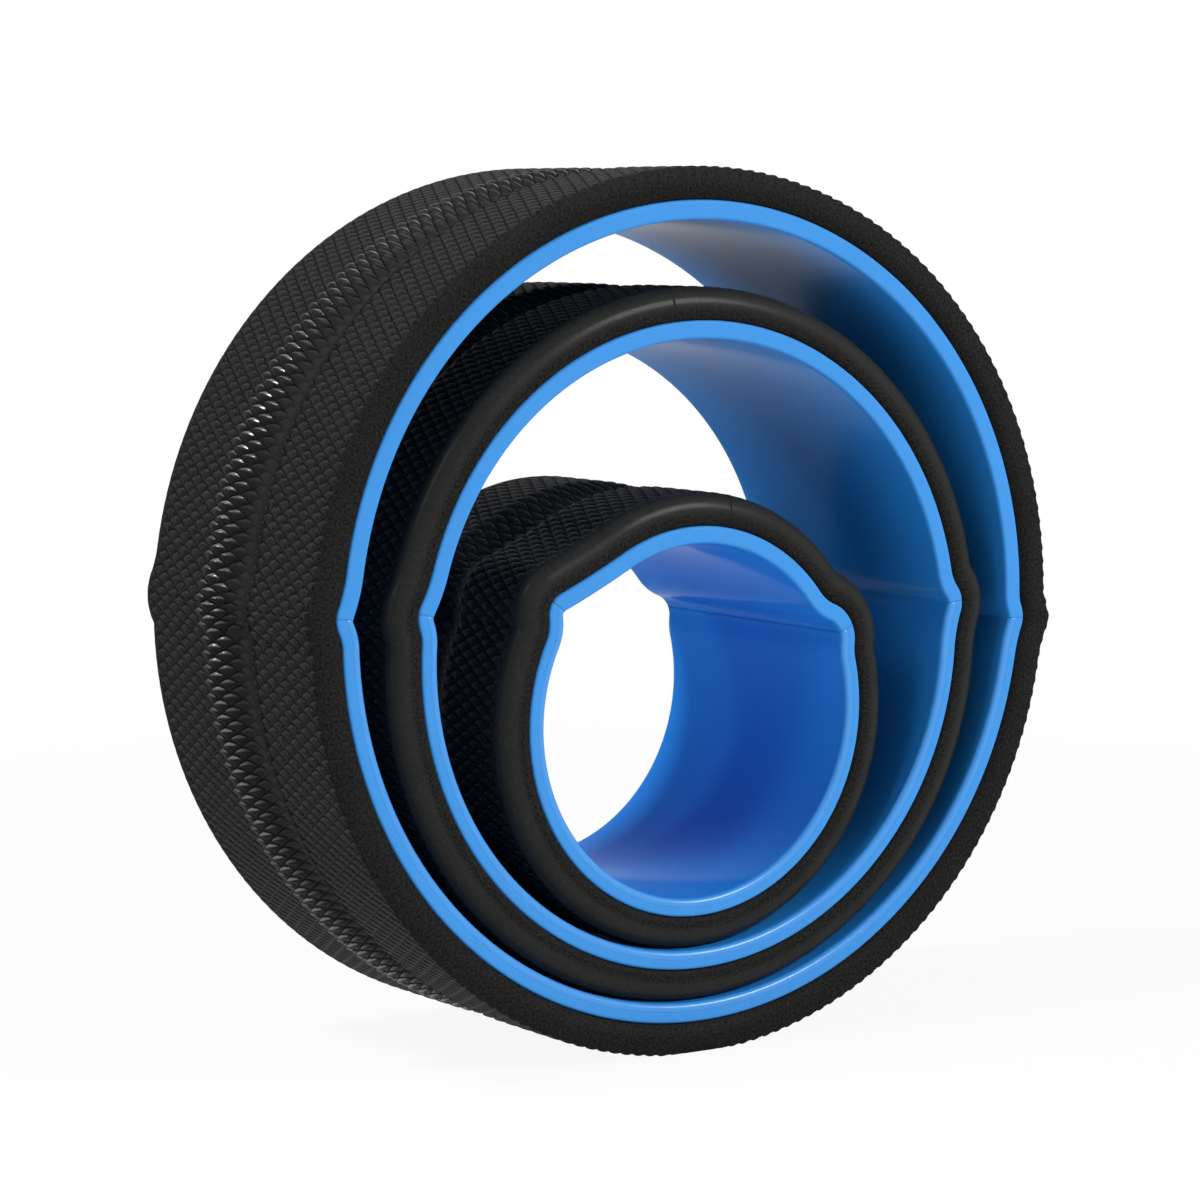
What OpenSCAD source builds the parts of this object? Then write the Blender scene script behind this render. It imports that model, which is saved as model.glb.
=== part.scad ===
// A nested set of three back-stretching wheels: a large wheel, a medium wheel resting inside it and a
// small wheel resting inside that. Each wheel is a plastic ring of two half shells under a foam tread.
// The wheels' common axis runs along Y, the front faces look towards -Y and the set stands on Z = 0.

/* [Large wheel] */
// Radius of the large wheel, from its axis to the crown of the tread
large_r = 165; // [145:1:185]
// Width of the large wheel along its axis
large_w = 120; // [100:1:150]
// Thickness of the large ring's plastic wall
large_wall = 7.4; // [5:0.2:9]
// Rounding of the large tread's outer edges
large_edge_r = 1.5; // [0.5:0.5:5]

/* [Medium wheel] */
// How much less radius the medium wheel has than the hollow of the large one
medium_play = 12.3; // [9.3:0.5:25.3]
// Width of the medium wheel along its axis
medium_w = 119; // [90:1:119]
// Thickness of the medium ring's plastic wall
medium_wall = 7; // [5:0.2:8]
// Rounding of the medium tread's outer edges
medium_edge_r = 7; // [0.5:0.5:8]
// How far the medium wheel's front face lies behind the large one's
medium_inset = 0; // [0:0.5:10]

/* [Small wheel] */
// How much less radius the small wheel's lower part has than the hollow of the medium one
small_play = 26.5; // [21.5:0.5:35.5]
// How much less radius the small wheel's upper shell has than its lower one
small_step = 3.8; // [0:0.2:5]
// Width of the small wheel along its axis
small_w = 116; // [90:1:118]
// Thickness of the small ring's plastic wall
small_wall = 6.8; // [5:0.2:8]
// Rounding of the small tread's outer edges
small_edge_r = 7; // [0.5:0.5:8]
// How far the small wheel's front face lies behind the medium one's
small_inset = 1; // [0:0.5:10]

/* [Foam tread] */
// Thickness of the foam on every wheel
foam_t = 12; // [9:0.5:14]
// Thickness of the adhesive film between shell and foam
film_t = 0.3; // [0.2:0.1:0.6]
// How far the adhesive film stays back from the edges of the foam
film_setback = 2; // [1:0.5:5]
// Half the width of the hollow for the spine in the middle of the tread
spine_half_w = 18; // [12:1:24]
// Depth of the hollow for the spine
spine_depth = 6; // [0:0.5:6]
// How much the large tread is pressed flat where the set stands on it
foot_depth = 1; // [0.8:0.1:2]

/* [Shell joints] */
// Radius of the wall's middle line round the noses of the large and the medium wheel
nose_r = 18; // [14:1:30]
// Radius of the wall's middle line round the small wheel's left nose
small_left_nose_r = 16; // [12:1:22]
// Radius of the wall's middle line round the small wheel's right nose
small_right_nose_r = 20; // [14:1:24]
// Thickness of the tongue that holds two shells together
tongue_t = 2.2; // [1.6:0.2:3]
// How far a tongue reaches into the other shell
tongue_reach = 4; // [2:0.5:5]
// How far a tongue stops short of the wheel's front and back faces
tongue_inset = 8; // [4:1:20]
// Clearance round a tongue in its groove
tongue_gap = 0.1; // [0.05:0.05:0.3]

/* [Joint places] */
// Angle of the large wheel's left joint, counted from the right, over the top
large_left_angle = 177.4; // [170:0.2:190]
// Angle of the large wheel's right joint
large_right_angle = -3.8; // [-10:0.2:10]
// How far the large wheel's left joint stands out from its ring
large_left_rise = 2.6; // [1:0.2:4]
// How far the large wheel's right joint stands out from its ring
large_right_rise = 2.2; // [1:0.2:4]
// Angle of the medium wheel's left joint
medium_left_angle = 171.2; // [165:0.2:190]
// Angle of the medium wheel's right joint
medium_right_angle = 4.8; // [-10:0.2:15]
// How far the medium wheel's left joint stands out from its ring
medium_left_rise = 2.6; // [1:0.2:4]
// How far the medium wheel's right joint stands out from its ring
medium_right_rise = 3.6; // [1:0.2:4]
// Angle of the small wheel's left joint
small_left_angle = 144.5; // [135:0.5:160]
// Angle of the small wheel's right joint
small_right_angle = 23; // [10:0.5:35]
// How far the small wheel's left joint stands out from its lower ring
small_left_rise = 4.8; // [2:0.2:5]
// How far the small wheel's right joint stands out from its lower ring
small_right_rise = 2.7; // [1:0.1:4]

/* [Tread seams] */
// Angle of the medium tread's upper seam
medium_top_seam_angle = 95.5; // [60:0.5:120]
// Angle of the medium tread's lower seam
medium_bottom_seam_angle = 251; // [230:0.5:300]
// Angle of the small tread's upper seam
small_top_seam_angle = 79.5; // [60:0.5:110]
// Angle of the small tread's lower seam
small_bottom_seam_angle = 262; // [230:0.5:300]

/* [Fit] */
// Clearance under a wheel where it rests inside the next one
rest_gap = 0.3; // [0.2:0.1:1]

/* [Colours] */
// Colour of the plastic shells
shell_color = "dodgerblue";
// Colour of the foam treads
foam_color = "#242524";
// Colour of the adhesive film
film_color = "#1b2430";

/* [Hidden] */
$fn = 96;
edge_steps = 3;
spine_steps = 4;
tongue_root = 1;
quarter_turn = 90;
half_turn = 180;
full_turn = 360;
past_face = 1;
wedge_steps = 4;
wedge_r = 3 * large_r;

// Each wheel is made to nest in the one around it
medium_r = inner_r(large_r, large_wall) - medium_play;
small_r = inner_r(medium_r, medium_wall) - small_play;
// Heights of the three axes: each wheel rests on the bottom of the one around it
large_z = large_r - foot_depth;
medium_z = large_z - (inner_r(large_r, large_wall) - medium_r - rest_gap);
small_z = medium_z - (inner_r(medium_r, medium_wall) - small_r - rest_gap);
// Front faces of the three wheels
large_front = -large_w / 2;
medium_front = large_front + medium_inset;
small_front = medium_front + small_inset;

// Inside radius of a ring whose tread has the radius r
function inner_r(r, wall) = r - foam_t - film_t - wall;
// Radius of the middle line of a ring's wall
function mid_r(r, wall) = r - foam_t - film_t - wall / 2;

// A nose is the round that a ring bulges into at a joint of two shells: its angle, the radius of its crest
// and its own radius, both on the wall's middle line
function nose(at, crest, r) = [at, crest, r];
function nose_at(n) = n[0];
function nose_crest(n) = n[1];
function nose_mid(n) = n[2];
function nose_centre_d(n) = n[1] - n[2];

// A wheel: its axis height, front face, width, wall, edge rounding, the radii of its wall's middle line in
// the upper and the lower shell, its right nose and its left nose
function wheel(z, front, w, wall, edge_r, upper, lower, right, left) =
    [z, front, w, wall, edge_r, upper, lower, right, left];
function wheel_z(k) = k[0];
function wheel_front(k) = k[1];
function wheel_w(k) = k[2];
function wheel_wall(k) = k[3];
function wheel_edge_r(k) = k[4];
function upper_mid(k) = k[5];
function lower_mid(k) = k[6];
function right_nose(k) = k[7];
function left_nose(k) = k[8];
function foam_base(k) = wheel_wall(k) / 2 + film_t;

large_mid = mid_r(large_r, large_wall);
medium_mid = mid_r(medium_r, medium_wall);
small_mid = mid_r(small_r, small_wall);
LARGE = wheel(large_z, large_front, large_w, large_wall, large_edge_r, large_mid, large_mid,
    nose(large_right_angle, large_mid + large_right_rise, nose_r),
    nose(large_left_angle, large_mid + large_left_rise, nose_r));
MEDIUM = wheel(medium_z, medium_front, medium_w, medium_wall, medium_edge_r, medium_mid, medium_mid,
    nose(medium_right_angle, medium_mid + medium_right_rise, nose_r),
    nose(medium_left_angle, medium_mid + medium_left_rise, nose_r));
SMALL = wheel(small_z, small_front, small_w, small_wall, small_edge_r, small_mid - small_step, small_mid,
    nose(small_right_angle, small_mid + small_right_rise, small_right_nose_r),
    nose(small_left_angle, small_mid + small_left_rise, small_left_nose_r));

module on_axis(k) {
    translate([0, 0, wheel_z(k)]) children();
}
// Sends X into the direction at an angle, counted from +X over +Z
module towards(angle) {
    rotate([0, -angle, 0]) children();
}
// The part of space between two angles round the Y axis
function wedge_points(from, to) = concat([[0, 0]],
    [for (i = [0:wedge_steps]) let (a = from + (to - from) * i / wedge_steps) wedge_r * [cos(a), sin(a)]]);
module wedge(from, to) {
    rotate([90, 0, 0]) linear_extrude(height = 2 * large_w, center = true) polygon(wedge_points(from, to));
}

// Draws its children round every centre of a ring: the wheel's own and those of the two noses.
// $mid is the radius of the wall's middle line there.
module rounds(k) {
    $mid = lower_mid(k);
    if (upper_mid(k) == lower_mid(k)) {
        children();
    } else {
        intersection() {
            children();
            wedge(nose_at(left_nose(k)), full_turn + nose_at(right_nose(k)));
        }
        upper_round(k) children();
    }
    nose_round(right_nose(k)) children();
    nose_round(left_nose(k)) children();
}
module upper_round(k) {
    $mid = upper_mid(k);
    children();
}
module nose_round(n) {
    $mid = nose_mid(n);
    d = nose_centre_d(n);
    translate([d * cos(nose_at(n)), 0, d * sin(nose_at(n))]) children();
}
// A plain round whose wall lies outwards from the wall's middle line by offset, set in from both faces
module plain_round(k, offset, inset = 0) {
    translate([0, wheel_front(k) + inset, 0]) rotate([-90, 0, 0])
        cylinder(r = $mid + offset, h = wheel_w(k) - 2 * inset);
}

// Outline of the foam outside its base: rounded at both edges and hollowed for the spine
function foam_dip(y) =
    abs(y) >= spine_half_w ? 0 : spine_depth * (1 + cos(half_turn * y / spine_half_w)) / 2;
function rim(r) = [
    for (i = [0:edge_steps]) let (a = quarter_turn * i / edge_steps) r * [1 - sin(a), 1 - cos(a)]
];
function foam_points(k, mid) = let (
    top = mid + foam_base(k) + foam_t,
    r = wheel_edge_r(k),
    front = wheel_front(k),
    back = front + wheel_w(k),
    middle = (front + back) / 2
) concat(
    [[0, front]],
    [for (p = rim(r)) [top - p[0], front + p[1]]],
    [for (i = [-spine_steps:spine_steps]) let (y = spine_half_w * i / spine_steps)
        [top - foam_dip(y), middle + y]],
    [for (i = [edge_steps:-1:0]) let (p = rim(r)[i]) [top - p[0], back - p[1]]],
    [[0, back]]
);
module foam_round(k) {
    rotate([90, 0, 0]) rotate_extrude() mirror([0, 1]) polygon(foam_points(k, $mid));
}

// The wall, the film and the foam of a wheel between two angles. The cutters go past both faces.
module wall_ring(k, from, to) {
    on_axis(k) intersection() {
        difference() {
            rounds(k) plain_round(k, wheel_wall(k) / 2);
            rounds(k) plain_round(k, -wheel_wall(k) / 2, -past_face);
        }
        wedge(from, to);
    }
}
module film_ring(k, from, to) {
    on_axis(k) intersection() {
        difference() {
            rounds(k) plain_round(k, foam_base(k), film_setback);
            rounds(k) plain_round(k, wheel_wall(k) / 2, -past_face);
        }
        wedge(from, to);
    }
}
module foam_ring(k, from, to) {
    on_axis(k) intersection() {
        difference() {
            rounds(k) foam_round(k);
            rounds(k) plain_round(k, foam_base(k), -past_face);
        }
        wedge(from, to);
    }
}

// Angles of a ring's upper and lower shell
function upper_from(k) = nose_at(right_nose(k));
function upper_to(k) = nose_at(left_nose(k));
function lower_to(k) = full_turn + nose_at(right_nose(k));

// The tongue of a joint, square to the crest of a nose, or with a clearance the groove for it.
// It points along side: 1 for increasing angles, -1 for decreasing ones.
module tongue(k, n, side, gap = 0) {
    length = tongue_reach + gap;
    inset = tongue_inset - gap;
    on_axis(k) towards(nose_at(n)) translate([
        nose_crest(n) - tongue_t / 2 - gap, wheel_front(k) + inset, side < 0 ? -length : -tongue_root
    ]) cube([tongue_t + 2 * gap, wheel_w(k) - 2 * inset, length + tongue_root]);
}
module upper_shell(k) {
    color(shell_color) difference() {
        wall_ring(k, upper_from(k), upper_to(k));
        tongue(k, right_nose(k), 1, tongue_gap);
        tongue(k, left_nose(k), -1, tongue_gap);
    }
}
module lower_shell(k) {
    color(shell_color) {
        wall_ring(k, upper_to(k), lower_to(k));
        tongue(k, right_nose(k), 1);
        tongue(k, left_nose(k), -1);
    }
}

// The large wheel's films and treads meet at the crests of its noses
module large_upper_shell() {
    upper_shell(LARGE);
}
module large_lower_shell() {
    lower_shell(LARGE);
}
module large_upper_film() {
    color(film_color) film_ring(LARGE, upper_from(LARGE), upper_to(LARGE));
}
module large_lower_film() {
    color(film_color) film_ring(LARGE, upper_to(LARGE), lower_to(LARGE));
}
module large_upper_tread() {
    color(foam_color) foam_ring(LARGE, upper_from(LARGE), upper_to(LARGE));
}
// Pressed flat on the floor
module large_lower_tread() {
    color(foam_color) difference() {
        foam_ring(LARGE, upper_to(LARGE), lower_to(LARGE));
        translate([-large_r, -large_w, -large_r]) cube([2 * large_r, 2 * large_w, large_r]);
    }
}

// The medium wheel's films and treads meet at two butt seams, at the top and at the bottom
module medium_upper_shell() {
    upper_shell(MEDIUM);
}
module medium_lower_shell() {
    lower_shell(MEDIUM);
}
module medium_left_film() {
    color(film_color) film_ring(MEDIUM, medium_top_seam_angle, medium_bottom_seam_angle);
}
module medium_right_film() {
    color(film_color) film_ring(MEDIUM, medium_bottom_seam_angle - full_turn, medium_top_seam_angle);
}
module medium_left_tread() {
    color(foam_color) foam_ring(MEDIUM, medium_top_seam_angle, medium_bottom_seam_angle);
}
module medium_right_tread() {
    color(foam_color) foam_ring(MEDIUM, medium_bottom_seam_angle - full_turn, medium_top_seam_angle);
}

// The small wheel's films and treads meet in the same way
module small_upper_shell() {
    upper_shell(SMALL);
}
module small_lower_shell() {
    lower_shell(SMALL);
}
module small_left_film() {
    color(film_color) film_ring(SMALL, small_top_seam_angle, small_bottom_seam_angle);
}
module small_right_film() {
    color(film_color) film_ring(SMALL, small_bottom_seam_angle - full_turn, small_top_seam_angle);
}
module small_left_tread() {
    color(foam_color) foam_ring(SMALL, small_top_seam_angle, small_bottom_seam_angle);
}
module small_right_tread() {
    color(foam_color) foam_ring(SMALL, small_bottom_seam_angle - full_turn, small_top_seam_angle);
}

large_upper_shell();
large_lower_shell();
large_upper_film();
large_lower_film();
large_upper_tread();
large_lower_tread();
medium_upper_shell();
medium_lower_shell();
medium_left_film();
medium_right_film();
medium_left_tread();
medium_right_tread();
small_upper_shell();
small_lower_shell();
small_left_film();
small_right_film();
small_left_tread();
small_right_tread();
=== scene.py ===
"""Looks of a nested set of three foam-covered back wheels: shells, films, treads, studio and camera.

Lengths are millimetres in the pieces' own numbers and metres in Blender. The wheels' common axis runs
along Y, their front faces look towards -Y, and a ring is drawn in the plane of X and Z, with angles
counted from +X over +Z.
"""

import logging
import math
from dataclasses import dataclass, field, replace
from enum import Enum
from typing import Any, Callable, ClassVar, Iterable, Sequence, Union

import bmesh
import bpy
import numpy as np
from mathutils import Matrix, Vector

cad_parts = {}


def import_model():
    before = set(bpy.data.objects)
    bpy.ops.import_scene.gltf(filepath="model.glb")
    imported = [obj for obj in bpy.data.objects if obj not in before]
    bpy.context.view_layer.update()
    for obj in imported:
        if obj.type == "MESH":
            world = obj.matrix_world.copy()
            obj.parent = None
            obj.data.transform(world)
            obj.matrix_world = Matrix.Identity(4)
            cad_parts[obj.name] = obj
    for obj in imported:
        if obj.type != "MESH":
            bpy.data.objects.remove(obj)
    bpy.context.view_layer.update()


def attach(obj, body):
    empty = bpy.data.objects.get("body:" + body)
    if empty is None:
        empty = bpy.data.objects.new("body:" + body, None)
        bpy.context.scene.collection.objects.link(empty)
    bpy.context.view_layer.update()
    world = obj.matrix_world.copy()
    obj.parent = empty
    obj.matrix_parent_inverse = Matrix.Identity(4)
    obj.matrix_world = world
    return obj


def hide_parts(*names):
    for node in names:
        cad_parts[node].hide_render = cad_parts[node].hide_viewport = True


LOG = logging.getLogger("back_wheels")
MM = 0.001
# Turns: the first three in radians and the last in degrees
FULL_TURN = 2.0 * math.pi
HALF_TURN = math.pi
QUARTER = math.pi / 2.0
ROUND = 360.0
# How far beside a crest, in radians, the two halves of its nose are counted
BESIDE_CREST = 1e-4
# The place of the arc that starts at the left crest, in a ring's line
LEFT_CREST_ARC = 5
# What smooth noise is on average
NOISE_MIDDLE = 0.5
WHITE = (1.0, 1.0, 1.0, 1.0)

Value = Union[float, int, "Term", bpy.types.NodeSocket]
Colour = tuple[float, float, float, float]


def from_screen(red: int, green: int, blue: int) -> Colour:
    """Turns a screen colour into the linear colour that a shader takes.

    Args:
        red, green, blue: the colour's parts, 0 to 255.

    Returns:
        The linear colour with full opacity.
    """
    shares = [part / 255.0 for part in (red, green, blue)]
    linear = [share / 12.92 if share <= 0.04045 else ((share + 0.055) / 1.055) ** 2.4 for share in shares]
    return (*linear, 1.0)


class Slot(Enum):
    """Material slots of the record."""

    SHELL = "shell_blue"
    TREAD = "tread_foam"
    FILM = "bond_film"


class Term:
    """A value in a node tree. Python's operators on it add Math nodes."""

    def __init__(self, tree: "TreeMaker", socket: bpy.types.NodeSocket) -> None:
        """Keeps the tree and the socket that gives the value."""
        self.tree = tree
        self.socket = socket

    def _math(self, operation: str, *values: Value) -> "Term":
        """Adds a Math node, with the values in its sockets in order."""
        node = self.tree.add("ShaderNodeMath", {"operation": operation}, dict(enumerate(values)))
        return Term(self.tree, node.outputs[0])

    def __add__(self, other: Value) -> "Term":
        """self + other."""
        return self._math("ADD", self, other)

    def __radd__(self, other: Value) -> "Term":
        """other + self."""
        return self._math("ADD", other, self)

    def __sub__(self, other: Value) -> "Term":
        """self - other."""
        return self._math("SUBTRACT", self, other)

    def __rsub__(self, other: Value) -> "Term":
        """other - self."""
        return self._math("SUBTRACT", other, self)

    def __mul__(self, other: Value) -> "Term":
        """self * other."""
        return self._math("MULTIPLY", self, other)

    def __rmul__(self, other: Value) -> "Term":
        """other * self."""
        return self._math("MULTIPLY", other, self)

    def __truediv__(self, other: Value) -> "Term":
        """self / other."""
        return self._math("DIVIDE", self, other)

    def __rtruediv__(self, other: Value) -> "Term":
        """other / self."""
        return self._math("DIVIDE", other, self)

    def __pow__(self, other: Value) -> "Term":
        """self to the power of other."""
        return self._math("POWER", self, other)

    def below(self, other: Value) -> "Term":
        """1 where self is less than other, else 0."""
        return self._math("LESS_THAN", self, other)

    def least(self, other: Value) -> "Term":
        """The smaller of self and other."""
        return self._math("MINIMUM", self, other)

    def most(self, other: Value) -> "Term":
        """The larger of self and other."""
        return self._math("MAXIMUM", self, other)

    def fraction(self) -> "Term":
        """What is left of self above the next whole number below it."""
        return self._math("FRACT", self)

    def zigzag(self) -> "Term":
        """Runs from 0 up to 1 and back, with 0 at the even numbers and 1 at the odd ones."""
        return self._math("PINGPONG", self, 1.0)

    def eased(self, low: float, high: float) -> "Term":
        """0 below low, 1 above high, and smooth between.

        Args:
            low, high: the values between which it rises.

        Returns:
            The eased value.
        """
        node = self.tree.add(
            "ShaderNodeMapRange",
            {"interpolation_type": "SMOOTHSTEP"},
            {"Value": self, "From Min": low, "From Max": high, "To Min": 0.0, "To Max": 1.0},
        )
        return Term(self.tree, node.outputs[0])


def new_object(name: str, data: Any) -> bpy.types.Object:
    """Makes an object of a mesh, a light or a camera and puts it in the scene.

    Args:
        name: the object's name.
        data: its mesh, light or camera.

    Returns:
        The object.
    """
    made = bpy.data.objects.new(name, data)
    bpy.context.scene.collection.objects.link(made)
    return made


class TreeMaker:
    """Adds nodes to one node tree, of a shader or of geometry."""

    def __init__(self, tree: bpy.types.NodeTree) -> None:
        """Keeps the tree and empties it."""
        self.tree = tree
        tree.nodes.clear()

    def add(
        self, kind: str, settings: dict[str, Any] | None = None,
        inputs: dict[str | int, Any] | None = None,
    ) -> bpy.types.Node:
        """Adds one node, sets its settings first and then fills its sockets.

        Args:
            kind: the node's type.
            settings: its properties by name.
            inputs: a value, Term or socket for each socket, by name or number.

        Returns:
            The node.
        """
        node = self.tree.nodes.new(kind)
        for name, value in (settings or {}).items():
            setattr(node, name, value)
        for name, value in (inputs or {}).items():
            if isinstance(value, Term):
                self.tree.links.new(value.socket, node.inputs[name])
            elif isinstance(value, bpy.types.NodeSocket):
                self.tree.links.new(value, node.inputs[name])
            else:
                node.inputs[name].default_value = value
        return node

    def value(
        self, kind: str, settings: dict[str, Any], inputs: dict[str | int, Any], out: str | int = 0,
    ) -> Term:
        """Adds a node and wraps one of its outputs."""
        return Term(self, self.add(kind, settings, inputs).outputs[out])

    def noise(self, place: bpy.types.NodeSocket, scale: float, detail: float = 2.0) -> Term:
        """Adds smooth noise of 0 to 1. The larger its scale, the finer it is."""
        return self.value("ShaderNodeTexNoise", {}, {"Vector": place, "Scale": scale, "Detail": detail})

    def gloss(self) -> Term:
        """The attribute "gloss" in a shader."""
        return self.value("ShaderNodeAttribute", {"attribute_name": "gloss"}, {}, "Fac")

    def parts(self, vector: bpy.types.NodeSocket) -> tuple[Term, Term, Term]:
        """Splits a vector into its three parts."""
        node = self.add("ShaderNodeSeparateXYZ", {}, {0: vector})
        return Term(self, node.outputs[0]), Term(self, node.outputs[1]), Term(self, node.outputs[2])

    def mixed_colour(self, share: Value, first: Colour, second: Colour) -> bpy.types.NodeSocket:
        """Mixes two colours: the first where share is 0 and the second where it is 1."""
        settings = {"data_type": "RGBA"}
        return self.add("ShaderNodeMix", settings, {0: share, 6: first, 7: second}).outputs[2]

    def mixed_shader(self, share: Value, first: bpy.types.Node, second: bpy.types.Node) -> bpy.types.Node:
        """Mixes two shaders in the same way."""
        return self.add("ShaderNodeMixShader", {}, {0: share, 1: first.outputs[0], 2: second.outputs[0]})

    def finish(self, shader: bpy.types.Node) -> None:
        """Makes a shader the look of the material's surface."""
        self.add("ShaderNodeOutputMaterial", {}, {"Surface": shader.outputs[0]})


def surface(name: str) -> tuple[bpy.types.Material, TreeMaker, bpy.types.NodeSocket]:
    """Starts a material.

    Args:
        name: the material's name.

    Returns:
        The material, its empty tree and the socket that gives a point's place on the object.
    """
    material = bpy.data.materials.new(name)
    material.use_nodes = True
    tree = TreeMaker(material.node_tree)
    return material, tree, tree.add("ShaderNodeTexCoord").outputs["Object"]


def carried(tree: TreeMaker) -> tuple[Term, Term, Term]:
    """The parts of the attribute "pattern" in a shader: along, across and share of relief."""
    attribute = tree.add("ShaderNodeAttribute", {"attribute_name": "pattern"})
    return tree.parts(attribute.outputs["Vector"])


# The line that a ring follows


@dataclass(frozen=True)
class Arc:
    """One arc of a ring's line. Where it turns backwards its centre lies outside the ring.

    Its place is the angle round the ring's axis by which a stretch takes it or leaves it. It begins
    at a count of the pattern's periods along the tread's crown.
    """

    centre: tuple[float, float]
    radius: float
    start: float
    end: float
    place: float
    begin: float = 0.0

    @property
    def turn(self) -> int:
        """1 for a round that bulges outwards and -1 for a hollow."""
        return 1 if self.end > self.start else -1

    def length(self, offset: float) -> float:
        """The arc's length at an offset outwards from the line."""
        return abs(self.end - self.start) * (self.radius + self.turn * offset)

    def outward(self, angles: np.ndarray) -> np.ndarray:
        """The outward directions in X and Z at some angles round the arc's centre."""
        return self.turn * np.stack([np.cos(angles), np.sin(angles)], axis=-1)


@dataclass(frozen=True)
class Knuckle:
    """The bulge of a ring at a joint of two shells, with a hollow on each side of its nose.

    The hollow before it lies at smaller angles. The rise is over the ring's lower part. Where fold
    isn't 0, the foam over it comes to a point: it is that much higher at the crest, falling off over
    fold_reach to each side.
    """

    angle: float
    rise: float
    nose_r: float = 7.0
    hollow_before: float = 60.0
    hollow_after: float = 18.5
    fold: float = 0.0
    fold_reach: float = 6.0
    fold_power: float = 1.5

    @property
    def at(self) -> float:
        """Its angle in radians."""
        return math.radians(self.angle)

    def _fit(self, crest: float, ring_r: float, hollow_r: float) -> tuple[float, float]:
        """Fits a hollow between nose and ring so that the three run into each other.

        Args:
            crest: the crest's distance from the ring's axis.
            ring_r: the radius of the ring's line beside the knuckle.
            hollow_r: the hollow's radius.

        Returns:
            The angle round the axis that the knuckle takes on that side, and the angle that the
            nose turns through.
        """
        reach = crest - self.nose_r
        to_hollow = ring_r + hollow_r
        across = self.nose_r + hollow_r
        aside = math.acos((reach ** 2 + to_hollow ** 2 - across ** 2) / (2 * reach * to_hollow))
        inner = math.acos((reach ** 2 + across ** 2 - to_hollow ** 2) / (2 * reach * across))
        return aside, HALF_TURN - inner

    def side(self, crest: float, ring_r: float, after: bool) -> tuple[float, list[Arc]]:
        """Makes the arcs on one side of the crest.

        Args:
            crest: the crest's distance from the ring's axis.
            ring_r: the radius of the ring's line on that side.
            after: True for the side of larger angles.

        Returns:
            The angle at which the ring's own arc ends, and the arcs in the order of the line.
        """
        hollow_r = self.hollow_after if after else self.hollow_before
        aside, nose_turn = self._fit(crest, ring_r, hollow_r)
        sign = 1 if after else -1
        ring_angle = self.at + sign * aside
        nose_angle = self.at + sign * nose_turn
        reach = crest - self.nose_r
        nose_centre = (reach * math.cos(self.at), reach * math.sin(self.at))
        far = ring_r + hollow_r
        hollow_centre = (far * math.cos(ring_angle), far * math.sin(ring_angle))
        ends = sorted((self.at, nose_angle))
        nose = Arc(nose_centre, self.nose_r, *ends, place=self.at + sign * BESIDE_CREST)
        ends = [nose_angle + HALF_TURN, ring_angle + HALF_TURN]
        hollow = Arc(hollow_centre, hollow_r, max(ends), min(ends), place=ring_angle)
        return ring_angle, [nose, hollow] if after else [hollow, nose]


@dataclass(frozen=True)
class RingLine:
    """The middle line of a wheel's wall, once round, made of arcs that run into each other."""

    upper_mid: float
    lower_mid: float
    right: Knuckle
    left: Knuckle
    crown: float
    periods: int

    def arcs(self) -> list[Arc]:
        """The arcs from the right crest over the top and once round, with where each begins.

        Returns:
            The arcs in order; begin is the length along the tread's crown, in periods of its pattern.
        """
        right_crest = self.lower_mid + self.right.rise
        left_crest = self.lower_mid + self.left.rise
        again = replace(self.right, angle=self.right.angle + ROUND)
        up_from, first = self.right.side(right_crest, self.upper_mid, True)
        up_to, second = self.left.side(left_crest, self.upper_mid, False)
        down_from, third = self.left.side(left_crest, self.lower_mid, True)
        down_to, fourth = again.side(right_crest, self.lower_mid, False)
        centre = (0.0, 0.0)
        upper = Arc(centre, self.upper_mid, up_from, up_to, place=(up_from + up_to) / 2)
        lower = Arc(centre, self.lower_mid, down_from, down_to, place=(down_from + down_to) / 2)
        line = [*first, upper, *second, *third, lower, *fourth]
        whole = sum(arc.length(self.crown) for arc in line)
        placed, run = [], 0.0
        for arc in line:
            placed.append(replace(arc, begin=run / whole * self.periods))
            run += arc.length(self.crown)
        return placed

    @property
    def period(self) -> float:
        """The length of one period of the pattern at the crown, in millimetres."""
        return sum(arc.length(self.crown) for arc in self.arcs()) / self.periods

    def folds(self, pattern: np.ndarray) -> np.ndarray:
        """How much higher the foam is over a knuckle's crest.

        Args:
            pattern: counts of the pattern's periods along the crown.

        Returns:
            The extra height at each, in millimetres.
        """
        high = np.zeros_like(pattern)
        for knuckle, crest in ((self.right, 0.0), (self.left, self.arcs()[LEFT_CREST_ARC].begin)):
            for turn in (-1, 0, 1):
                away = np.abs(pattern - crest - turn * self.periods) * self.period
                near = np.maximum(0.0, 1.0 - away / knuckle.fold_reach)
                high += knuckle.fold * near ** knuckle.fold_power
        return high

    def between(self, start: float, end: float) -> list[Arc]:
        """Cuts a stretch out of the line.

        Args:
            start, end: angles in degrees; a cut falls on a crest or in a ring's own arc.

        Returns:
            The arcs of the stretch, in order.
        """
        low, high = math.radians(start), math.radians(end)
        found = []
        for turn in (-1, 0, 1):
            for arc in self.arcs():
                shift = turn * FULL_TURN
                moved = replace(
                    arc, start=arc.start + shift, end=arc.end + shift, place=arc.place + shift,
                    begin=arc.begin + turn * self.periods,
                )
                if arc.centre != (0.0, 0.0):
                    if low < moved.place < high:
                        found.append(moved)
                    continue
                first, last = max(moved.start, low), min(moved.end, high)
                if last > first:
                    skipped = (first - moved.start) * (arc.radius + self.crown) / self.period
                    found.append(replace(moved, start=first, end=last, begin=moved.begin + skipped))
        return found


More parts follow.
